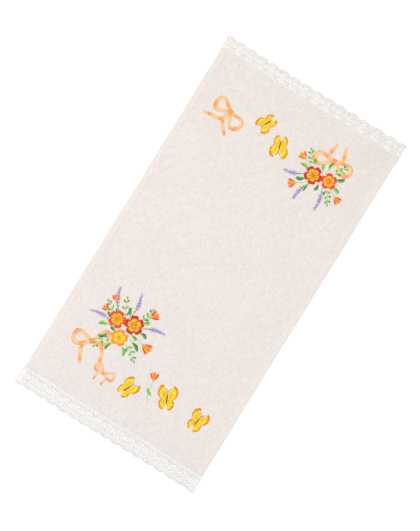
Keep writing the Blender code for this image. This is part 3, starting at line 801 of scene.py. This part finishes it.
def rose(stitches, centre, radius, turn, shade):
    """A wild rose: round petals of long-and-short stitches in three bands, with veins between.

    The tip of a petal lies at radius * (0.52 + 0.48 sqrt(1 - |o|^2.6)) * (1 - 0.05 exp(-(4 o)^2)),
    where o runs from -1 to 1 across the petal.
    """
    rim, flush, glow, heart = ROSE_SHADES[shade]
    centre = np.asarray(centre)
    spread = np.pi / ROSE_PETALS * PETAL_SPREAD
    count = int(2 * spread * radius / STITCH_STEP * 0.92)
    offset = np.linspace(-1, 1, count)
    round_tip = 0.52 + 0.48 * np.sqrt(1 - np.abs(offset) ** 2.6)
    tip = radius * round_tip * (1 - 0.05 * np.exp(-(4 * offset) ** 2))
    third = np.arange(count) % 3 == 1
    for petal in range(ROSE_PETALS):
        middle = math.radians(turn) + 2 * np.pi * petal / ROSE_PETALS
        angle = middle + offset * spread
        ragged = stitches.random.uniform(-0.06, 0.06, count) * radius
        stitches.add((centre + polar(angle, np.full(count, 0.10 * radius)))[third],
                     (centre + polar(angle, 0.42 * tip))[third], heart)
        stitches.add(centre + polar(angle, 0.34 * tip + ragged),
                     centre + polar(angle, 0.72 * tip + ragged),
                     stitches.mixed(count, heart, glow, 0.25), 0.06 * MM)
        stitches.add(centre + polar(angle, 0.66 * tip - ragged), centre + polar(angle, tip),
                     stitches.mixed(count, rim, flush, 0.2), 0.12 * MM)
        vein = middle + np.array([-0.5, -0.2, 0.2, 0.5]) * spread
        stitches.add(centre + polar(vein, np.full(4, 0.16 * radius)),
                     centre + polar(vein, np.array([0.36, 0.52, 0.52, 0.36]) * radius), rim,
                     0.20 * MM)
        gap = np.full(2, middle + spread / PETAL_SPREAD)
        stitches.add(centre + polar(gap, np.array([0.16, 0.30]) * radius),
                     centre + polar(gap, np.array([0.36, 0.56]) * radius), CRIMSON, 0.24 * MM)
    seeds = stitches.random.uniform(0, 2 * np.pi, 16)
    spot = centre + polar(seeds, stitches.random.uniform(0.01, 0.13, 16) * radius)
    stitches.add(spot, spot + polar(seeds + 1.0, np.full(16, 1.2 * MM)),
                 stitches.mixed(16, CRIMSON, OLIVE, 0.4), 0.2 * MM)


def leaf(stitches, base, tip, half_wide, bend, left, right):
    """A pointed leaf in fishbone stitch: slanting stitches run from the midrib to each edge.

    Its half width is half_wide * sin(pi (0.10 + 0.88 s))^0.8, and its midrib bows by
    bend * sin(pi s).
    """
    base, tip = np.asarray(base), np.asarray(tip)
    run = tip - base
    length = np.linalg.norm(run)
    side = leftward(run)
    share = np.linspace(0, 0.92, max(int(length / (STITCH_STEP * 1.05)), 5))
    for hand, colour in ((1, left), (-1, right)):
        rib = base + run * share[:, None] + side * (bend * np.sin(np.pi * share))[:, None]
        ahead = np.clip(share + 2.3 * MM / length, 0, 1)
        width = half_wide * np.sin(np.pi * (share * 0.88 + 0.10)) ** 0.8
        width = width * stitches.random.uniform(0.90, 1.08, len(share))
        edge = (base + run * ahead[:, None]
                + side * (bend * np.sin(np.pi * ahead) + hand * width)[:, None])
        stitches.add(rib - side * hand * 0.15 * MM, edge, colour)


def stem(stitches, path, colour=LIGHT_GREEN, stitch=2.4 * MM):
    """Stem stitch along a path: short stitches that overlap by half, each a little aslant."""
    start, at, total = along(path, stitch / 2)
    start = start[at < max(total - stitch / 2, stitch / 2)]
    end = np.concatenate([start[2:], np.asarray(path)[-1:], np.asarray(path)[-1:]])[:len(start)]
    run = end - start
    aslant = 0.07 * np.stack([-run[:, 1], run[:, 0]], -1)
    stitches.add(start + aslant, end - aslant, colour)


def lavender(stitches, base, tip, bow):
    """A lavender spike: whorls of small lilac stitches on a thin stem, shorter towards the tip."""
    path = curve(base, tip, bow)
    stem(stitches, path, OLIVE)
    share = np.linspace(0.38, 1.0, LAVENDER_WHORLS)
    at = np.linspace(0, 1, len(path))
    place = np.stack([np.interp(share, at, path[:, i]) for i in (0, 1)], -1)
    run = np.asarray(tip) - np.asarray(base)
    heading = math.atan2(run[1], run[0])
    place = place + stitches.random.normal(0, 0.35 * MM, place.shape)
    reach = np.linspace(5.2, 2.6, LAVENDER_WHORLS) * MM
    for lean, colour in ((-1.40, LILAC), (-1.10, DEEP_LILAC), (-0.70, LILAC), (-0.40, LILAC),
                         (0.0, DEEP_LILAC), (0.40, LILAC), (0.70, DEEP_LILAC), (1.10, LILAC),
                         (1.40, LILAC)):
        toward = heading + lean + stitches.random.normal(0, 0.10, LAVENDER_WHORLS)
        root = place + polar(toward, 0.40 * reach)
        stitches.add(root, root + polar(toward, 0.55 * reach), colour, 0.05 * MM)
    foot = path[5:17:3]
    for lean, colour in ((-0.9, OLIVE), (0.9, DARK_GREEN)):
        toward = np.full(len(foot), heading + lean)
        stitches.add(foot, foot + polar(toward, np.full(len(foot), 3.4 * MM)), colour, 0.10 * MM)


def sprig(stitches, base, tip, bow, pairs_of_leaves):
    """A thin stem with small leaves in pairs, in three greens by turns, and one at its tip."""
    path = curve(base, tip, bow)
    stem(stitches, path)
    share = np.linspace(0.22, 0.88, pairs_of_leaves)
    at = np.linspace(0, 1, len(path))
    run = np.asarray(tip) - np.asarray(base)
    heading = math.atan2(run[1], run[0])
    for number, s in enumerate(share):
        foot = np.array([np.interp(s, at, path[:, i]) for i in (0, 1)])
        size = (8.5 - 2.5 * s) * MM
        for hand in (-1, 1):
            end = foot + polar(np.array(heading + hand * 0.85), size)
            leaf(stitches, foot, end, 0.24 * size, 0.06 * size * hand,
                 *LEAF_SHADES[(number + (hand > 0)) % 3])
    leaf(stitches, path[-1], path[-1] + polar(np.array(heading), 6.5 * MM), 1.6 * MM, 0.0,
         *LEAF_SHADES[1])


def bud(stitches, base, heading, size):
    """A half-open bud: five pointed petals of stitches, red outside and orange to yellow inside."""
    base = np.asarray(base)
    for lean, wide, colour, edge in ((-30, 0.15, RED, FLAME), (30, 0.15, RED, FLAME),
                                     (-15, 0.16, ORANGE, YELLOW), (15, 0.16, ORANGE, YELLOW),
                                     (0, 0.16, FLAME, ORANGE)):
        angle = math.radians(heading + lean)
        count = max(int(2.2 * size * wide / STITCH_STEP), 5)
        offset = np.linspace(-1, 1, count)
        side = polar(np.full(count, angle + np.pi / 2), offset * size * wide)
        start = base + side * 0.30 + polar(np.full(count, angle), np.full(count, 0.08 * size))
        end = base + side * 0.9 + polar(np.full(count, angle), size * (1 - 0.42 * offset ** 2))
        stitches.add(start, end, stitches.mixed(count, colour, edge, 0.3), 0.05 * MM)
    lean = np.radians(heading + np.linspace(-50, 50, 7))
    stitches.add(base - polar(lean, np.full(7, 1.2 * MM)),
                 base + polar(lean, np.full(7, 0.30 * size)), LIGHT_GREEN, 0.12 * MM)


def ribbon(stitches, path, half_wide, swell, flow):
    """A satin ribbon: stitches lie aslant across the path.

    Its half width is half_wide * (1 - swell + swell sin(pi s)), and it is deeper in colour where
    it turns over, once every flow metres, by cos(pi s / flow)^4.
    """
    middle, at, total = along(path, STITCH_STEP)
    heading = np.gradient(middle, axis=0)
    heading /= np.linalg.norm(heading, axis=1, keepdims=True)
    side = np.stack([-heading[:, 1], heading[:, 0]], -1) + 0.30 * heading
    width = half_wide * (1 - swell + swell * np.sin(np.pi * at / total))
    width = width * stitches.random.uniform(0.96, 1.04, len(at))
    deep = np.abs(np.cos(np.pi * at / flow))[:, None] ** 4
    tint = (np.array(hex_colour(APRICOT)[:3]) * (1 - deep)
            + np.array(hex_colour(DEEP_APRICOT)[:3]) * deep)
    stitches.add(middle - side * width[:, None], middle + side * width[:, None], tint,
                 shade=0.03)


def bow_knot(stitches, knot, turn, loop_long, loop_wide, half_wide, tails):
    """A tied bow: two teardrop loops, wavy tails and a knot. tails rows are bend, turn, length.

    A loop runs out as L (1 - cos 2 pi t) / 2 and sideways as W sin(2 pi t) (1 - cos 2 pi t) / 2.
    """
    knot = np.asarray(knot)
    for bend, lean, length in tails:
        share = np.linspace(0, 1, 30)
        wave = np.stack([share * length, bend * np.sin(share * 4.4)], -1)
        ribbon(stitches, knot + turned(wave, turn + lean), half_wide * 0.85, 0.15, 21 * MM)
    for hand in (1, -1):
        t = np.linspace(0.03, 0.97, 60)
        out = hand * loop_long * (1 - np.cos(2 * np.pi * t)) / 2
        wide = loop_wide * np.sin(2 * np.pi * t) * (1 - np.cos(2 * np.pi * t)) / 2
        ribbon(stitches, knot + turned(np.stack([out, wide], -1), turn + 14 * hand), half_wide,
               0.35, 34 * MM)
    across = np.linspace(-1, 1, 15)[:, None]
    along_knot = turned(np.array([[1.0, 0.0]]), turn) * half_wide * 1.05
    up_knot = turned(np.array([[0.0, 1.0]]), turn) * half_wide * 1.25
    stitches.add(knot + across * along_knot - up_knot, knot + across * along_knot + up_knot,
                 DEEP_APRICOT, 0.22 * MM)


def butterfly(stitches, centre, span, turn):
    """A small butterfly from above: fanned satin wings, a slim brown body and two feelers.

    A wing's stitches start beside the body, o running from -1 to 1 across them, and reach
    span * (long - fall * (o - peak)^2), so that the wing is longest at o = peak.
    """
    centre = np.asarray(centre)
    ahead = polar(np.array(math.radians(turn)), span)
    # Front and hind wing: foot, lean, spread, long, fall and peak.
    wings = ((0.17, 33, 30, 1.00, 0.17, 0.55), (-0.15, -34, 34, 0.70, 0.13, -0.2))
    for hand in (-1, 1):
        for foot, lean, spread, long, fall, peak in wings:
            count = int(span * long * math.radians(2 * spread) * 0.85 / STITCH_STEP)
            offset = np.linspace(-1, 1, count)
            root = centre + (foot + 0.15 * offset)[:, None] * ahead
            angle = np.radians(turn + hand * (90 - lean - offset * spread))
            out = span * (long - fall * (offset - peak) ** 2)
            out = out * (1 - 0.10 * np.abs(offset) ** 6)
            ragged = stitches.random.uniform(-0.05, 0.05, count) * span
            odd = np.arange(count) % 2 == 0
            stitches.add((root + polar(angle, 0.05 * out))[odd],
                         (root + polar(angle, out * 0.50 + ragged))[odd],
                         stitches.mixed(odd.sum(), LEMON, YELLOW, 0.4))
            stitches.add(root + polar(angle, out * 0.42 + ragged), root + polar(angle, out * 0.84),
                         stitches.mixed(count, YELLOW, LEMON, 0.35), 0.06 * MM)
            stitches.add(root + polar(angle, out * 0.80), root + polar(angle, out),
                         stitches.mixed(count, ORANGE, YELLOW, 0.25), 0.12 * MM)
            vein = np.array([count // 5, count // 2, 4 * count // 5])
            stitches.add((root + polar(angle, 0.12 * out))[vein],
                         (root + polar(angle, 0.60 * out))[vein], ORANGE, 0.16 * MM)
            spot = (root + polar(angle, 0.70 * out))[count // 2]
            ray = np.radians(np.arange(0, 360, 60))
            stitches.add(spot - polar(ray, np.full(6, 0.01 * span)),
                         spot + polar(ray, np.full(6, 0.08 * span)), CREAM, 0.18 * MM)
    side = polar(np.array(math.radians(turn + 90)), 1.1 * MM)
    for shift, half in ((-0.6, 0.28), (-0.2, 0.38), (0.2, 0.38), (0.6, 0.28)):
        stitches.add(centre - half * ahead + side * shift, centre + half * ahead + side * shift,
                     BROWN, 0.26 * MM)
    for lean in (-24, 24):
        start = centre + 0.36 * ahead
        end = start + polar(np.array(math.radians(turn + lean)), 0.55 * span)
        stem(stitches, curve(start, end, -0.08 * span * np.sign(lean), 8), BROWN, 1.8 * MM)


def posy(stitches, place, turn, roses, buds, leaves, spikes, sprigs):
    """A bunch of flowers. Each table row is in millimetres and degrees about the bunch's middle."""
    def put(x, y):
        return np.asarray(place) + turned(np.array([x, y]) * MM, turn)

    for x0, y0, x1, y1, bow in spikes:
        lavender(stitches, put(x0, y0), put(x1, y1), bow * MM)
    for x0, y0, x1, y1, bow, count in sprigs:
        sprig(stitches, put(x0, y0), put(x1, y1), bow * MM, count)
    for x0, y0, x1, y1, wide, bend, shade in leaves:
        stem(stitches, curve(put(0.4 * x0, 0.4 * y0), put(x0, y0), 0.5 * MM))
        leaf(stitches, put(x0, y0), put(x1, y1), wide * MM, bend * MM, *LEAF_SHADES[shade])
    for x, y, heading, size in buds:
        foot = put(x, y)
        stem(stitches, curve(put(x * 0.35, y * 0.35), foot, 2 * MM))
        bud(stitches, foot, heading + turn, size * MM)
    for x, y, radius, spin, shade in roses:
        rose(stitches, put(x, y), radius * MM, spin + turn, shade)


# Columns: leaves x0 y0 x1 y1 half_width bend shade, spikes x0 y0 x1 y1 bow,
# sprigs x0 y0 x1 y1 bow pairs, buds x y heading size, roses x y radius turn shade.
NEAR_LEAVES = [(-20, 10, -36, 14, 3.2, 2, 0), (-26, -6, -42, -10, 3.2, -2, 1),
               (24, -16, 39, -26, 3.2, 2, 0), (12, -30, 20, -44, 3.0, 2, 1),
               (-8, -32, -14, -46, 3.0, -2, 2), (-20, -20, -34, -30, 3.2, 2, 0),
               (0, 4, 2, 14, 2.6, 1, 1), (-10, -10, -20, -6, 2.6, 1, 0),
               (18, -6, 29, -10, 2.6, 1, 2), (30, 4, 43, 0, 3.0, 2, 0),
               (2, 24, -3, 37, 2.8, 1, 0), (26, 22, 38, 27, 2.8, -1, 1)]
NEAR_SPRIGS = [(-16, 16, -40, 30, 3, 3), (-12, -21, -30, -46, -3, 3), (22, 24, 32, 46, -3, 3),
               (14, -24, 38, -42, 3, 3), (-1, 15, -14, 46, 3, 3)]
NEAR_SPIKES = [(-18, 22, -34, 60, 4), (4, 24, 4, 64, -3), (28, 12, 68, 20, 3),
               (-22, 0, -62, 4, -4)]
NEAR_BUDS = [(34, 36, 44, 16), (-30, 36, 120, 13), (42, -12, -16, 18), (-36, 16, 158, 12)]
NEAR_ROSES = [(-16, 9, 16, 12, 0), (15, 12, 17.5, 40, 2), (1, -18, 15, 22, 1)]
FAR_LEAVES = [(-22, 8, -38, 12, 3.0, 2, 1), (-24, -8, -38, -14, 3.0, -2, 0),
              (26, 12, 40, 18, 3.2, 2, 0), (28, -4, 42, -8, 3.0, -2, 1),
              (-6, -18, -10, -32, 2.8, 2, 2), (0, 12, 2, 24, 2.8, 1, 0),
              (2, -12, 6, -24, 2.6, 1, 1), (16, 20, 20, 33, 2.8, -1, 2)]
FAR_SPRIGS = [(-12, 14, -26, 34, 3, 3), (18, -14, 34, -34, 3, 3), (-16, -14, -30, -34, -3, 3)]
FAR_SPIKES = [(-8, 12, -12, 54, 3), (16, 18, 28, 52, -3), (30, 6, 64, 14, 3)]
FAR_BUDS = [(36, 26, 30, 15), (-34, 20, 152, 14), (38, -18, -26, 14)]
FAR_ROSES = [(-14, 0, 14.5, 0, 0), (15, 2, 16.5, 30, 2)]

trims = Stitches(11)
bow_knot(trims, (-104 * MM, -219 * MM), 28, 33 * MM, 17 * MM, 3.6 * MM,
         [(9 * MM, -62, 48 * MM), (-8 * MM, -128, 44 * MM)])
bow_knot(trims, (-58 * MM, -256 * MM), -8, 19 * MM, 10 * MM, 2.2 * MM,
         [(4 * MM, -55, 20 * MM), (-4 * MM, -125, 20 * MM)])
bow_knot(trims, (88 * MM, 262 * MM), 184, 34 * MM, 15 * MM, 3.4 * MM,
         [(7 * MM, -60, 30 * MM), (-7 * MM, -120, 30 * MM)])
bow_knot(trims, (-108 * MM, 240 * MM), 158, 30 * MM, 17 * MM, 3.3 * MM,
         [(8 * MM, 62, 46 * MM), (-7 * MM, 118, 42 * MM)])
butterfly(trims, (-10 * MM, -257 * MM), 19 * MM, 64)
butterfly(trims, (58 * MM, -237 * MM), 22 * MM, 112)
butterfly(trims, (122 * MM, -243 * MM), 20 * MM, 82)
butterfly(trims, (-44 * MM, 258 * MM), 18 * MM, 242)
butterfly(trims, (-6 * MM, 236 * MM), 20 * MM, 288)
stem(trims, curve((34 * MM, -262 * MM), (22 * MM, -222 * MM), 4 * MM))
leaf(trims, (32 * MM, -246 * MM), (20 * MM, -238 * MM), 2.6 * MM, 1 * MM, *LEAF_SHADES[1])
bud(trims, (22 * MM, -222 * MM), 112, 15 * MM)
trim_piece = trims.piece("embroidered_ribbons_and_butterflies", cloth_top)

flowers = Stitches(7)
posy(flowers, (-70 * MM, -172 * MM), 6, NEAR_ROSES, NEAR_BUDS, NEAR_LEAVES, NEAR_SPIKES,
     NEAR_SPRIGS)
posy(flowers, (84 * MM, 226 * MM), 186, FAR_ROSES, FAR_BUDS, FAR_LEAVES, FAR_SPIKES,
     FAR_SPRIGS)
posy_piece = flowers.piece("embroidered_posies", lambda x, y: cloth_top(x, y) + POSY_LIFT)


def rayon_thread():
    """Shiny rayon embroidery thread: each stitch has its own colour attribute and a silky gloss.

    A fine noise, 0.4 mm across, roughens the gloss as the thread's loose fibres do.
    """
    material, tree, shader = new_material("rayon_embroidery_thread", {
        "Roughness": 0.45, "Specular IOR Level": 0.45})
    tint = add(tree, "Attribute", attribute_name="thread_colour").outputs["Color"]
    tree.links.new(tint, shader.inputs["Base Color"])
    place = add(tree, "TexCoord").outputs["Object"]
    fuzz = add(tree, "TexNoise", {"Vector": place, "Scale": 2600.0, "Detail": 1.0})
    bump = add(tree, "Bump", {"Height": fuzz, "Strength": 0.2, "Distance": 0.1 * MM})
    tree.links.new(bump.outputs[0], shader.inputs["Normal"])
    return material


rayon = rayon_thread()
for piece in (posy_piece, trim_piece):
    piece.data.materials.append(rayon)
    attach(piece, "root")


# The sewing: straight machine stitches in off-white spun thread. One seam holds each hem, one the
# near lace's header on the cloth, and one the cloth's far end on the other lace's header.
SEW_STITCH = 2.4 * MM
SEW_GAP = 0.5 * MM
SEW_WIDE, SEW_HIGH = 0.42 * MM, 0.28 * MM
SEW_TURN = 0.6 * MM


def seam_points(start, end):
    """Start and end of each stitch along a straight seam, both (n, 2)."""
    start, end = np.asarray(start), np.asarray(end)
    length = np.linalg.norm(end - start)
    at = np.arange(0, length - SEW_STITCH, SEW_STITCH + SEW_GAP)[:, None]
    heading = (end - start) / length
    return start + heading * at, start + heading * (at + SEW_STITCH)


def sewing_piece(name, seams):
    """Stitches along seams, each seam given as start, end and a function for its base height."""
    section = np.array([[-0.5, 0.0], [-0.3, 0.9], [0.3, 0.9], [0.5, 0.0]])
    arch = np.array([0.1, 1.0, 1.0, 0.1])[None, :, None]
    sewn = []
    for start, end, base in seams:
        first, last = seam_points(start, end)
        place = carried(first, last, np.array([0.0, 0.2, 0.8, 1.0]), section[:, 0] * SEW_WIDE)
        x, y = place[..., 0], place[..., 1]
        height = base(x, y) + arch * SEW_HIGH * section[:, 1]
        sewn.append(np.stack([x, askew(x, y), height], -1))
    return separate_threads(name, np.concatenate(sewn))


def hem_height(x, y):
    """Base of a hem's stitches, which are drawn a little into it."""
    return cloth_rise(y) + HEM_THICK - 0.24 * MM


def near_header_height(x, y):
    """Base of the stitches that lie on top of the near lace's threads."""
    return near_rise(x, y + TOWEL_HALF_LENGTH) + LACE_MIDDLE + 0.28 * MM


def far_end_height(x, y):
    """Base of the stitches across the cloth's far end, just inside its top."""
    return cloth_top(x, y) - 0.05 * MM


hem_x = TOWEL_HALF_WIDTH - HEM_SEAM
near_y = -TOWEL_HALF_LENGTH + NEAR_HEADER - 2.2 * MM
far_y = CLOTH_FAR_END - 1.8 * MM
sewing = sewing_piece("sewing_thread", [
    ((-hem_x, CLOTH_NEAR_END + 9 * MM), (-hem_x, CLOTH_FAR_END - 1 * MM), hem_height),
    ((hem_x, CLOTH_NEAR_END + 9 * MM), (hem_x, CLOTH_FAR_END - 1 * MM), hem_height),
    ((-hem_x - 8 * MM, near_y), (hem_x + 8 * MM, near_y), near_header_height),
    ((-hem_x + 2 * MM, far_y), (hem_x - 2 * MM, far_y), far_end_height),
])


def sewing_thread():
    """Off-white spun thread, tightly twisted: its strands show as fine slanting lines.

    The lines follow sin(2 pi (x + y) / SEW_TURN), which runs aslant on seams along X and along Y.
    They are bump, and painted shade too: the colour darkens along them.
    """
    material, tree, shader = new_material("off_white_sewing_thread", {
        "Roughness": 0.7, "Specular IOR Level": 0.3})
    split = add(tree, "SeparateXYZ", {0: add(tree, "TexCoord").outputs["Object"]})
    aslant = add(tree, "Math", {0: split.outputs["X"], 1: split.outputs["Y"]}, operation="ADD")
    turns = add(tree, "Math", {0: aslant, 1: 2 * math.pi / SEW_TURN}, operation="MULTIPLY")
    strand = add(tree, "Math", {0: turns}, operation="SINE")
    # Painted shade: the strands' lines darken the thread's colour in the grooves, as well as its
    # bump.
    tone = add(tree, "MapRange", {"Value": strand, "From Min": -1.0, "From Max": 1.0})
    colour = add(tree, "Mix", {"Factor": tone, 6: hex_colour("#F2EDE7"), 7: hex_colour("#FBF8F4")},
                 data_type="RGBA").outputs[2]
    tree.links.new(colour, shader.inputs["Base Color"])
    bump = add(tree, "Bump", {"Height": strand, "Strength": 0.3, "Distance": 0.05 * MM})
    tree.links.new(bump.outputs[0], shader.inputs["Normal"])
    return material


sewing.data.materials.append(sewing_thread())
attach(sewing, "root")


# The floor is a plain white table top, which lies just under the towel. One large round lamp,
# a little to the left, and an even white room light the cloth softly from above.
TABLE_REACH = 12.0
TABLE_DROP = 0.05 * MM
KEY_POWER = 30.9
KEY_SIZE = 2.4
KEY_PLACE = (-0.75, 0.15, 2.4)
ROOM_STRENGTH = 0.758

table_corners = [(-1, -1), (1, -1), (1, 1), (-1, 1)]
floor = new_piece("table_top",
                  np.array([(x * TABLE_REACH, y * TABLE_REACH, -TABLE_DROP)
                            for x, y in table_corners]), np.array([[0, 1, 2, 3]]))
floor.data.materials.append(new_material("white_table", {
    "Base Color": (0.97, 0.97, 0.97, 1.0), "Roughness": 1.0, "Specular IOR Level": 0.0})[0])

key = bpy.data.objects.new("key_light", bpy.data.lights.new("key_light", "AREA"))
key.data.shape = "DISK"
key.data.size = KEY_SIZE
key.data.energy = KEY_POWER
key.location = KEY_PLACE
key.rotation_euler = (-key.location).to_track_quat("-Z", "Y").to_euler()
bpy.context.scene.collection.objects.link(key)

world = bpy.data.worlds.new("soft_white_room")
bpy.context.scene.world = world
world.use_nodes = True
background = world.node_tree.nodes["Background"]
background.inputs["Color"].default_value = (1.0, 1.0, 1.0, 1.0)
background.inputs["Strength"].default_value = ROOM_STRENGTH
bpy.context.scene.view_settings.view_transform = "Standard"
bpy.context.scene.view_settings.look = "None"


# The camera looks straight down from high up through a long lens, as the photo does. The towel
# lies turned by 31.71 degrees in the picture, with its middle almost at the picture's middle.
VIEW_TURN = math.radians(31.71)
VIEW_HEIGHT = 0.9123                   # height of the picture on the table, in metres
VIEW_MIDDLE = (0.00025, -0.00252)
LENS, SENSOR = 90.0, 36.0
camera = bpy.data.objects.new("camera", bpy.data.cameras.new("camera"))
camera.data.lens = LENS
camera.data.sensor_width = SENSOR
camera.location = (*VIEW_MIDDLE, VIEW_HEIGHT * LENS / SENSOR)
camera.rotation_euler = (0.0, 0.0, VIEW_TURN)
bpy.context.scene.collection.objects.link(camera)
bpy.context.scene.camera = camera
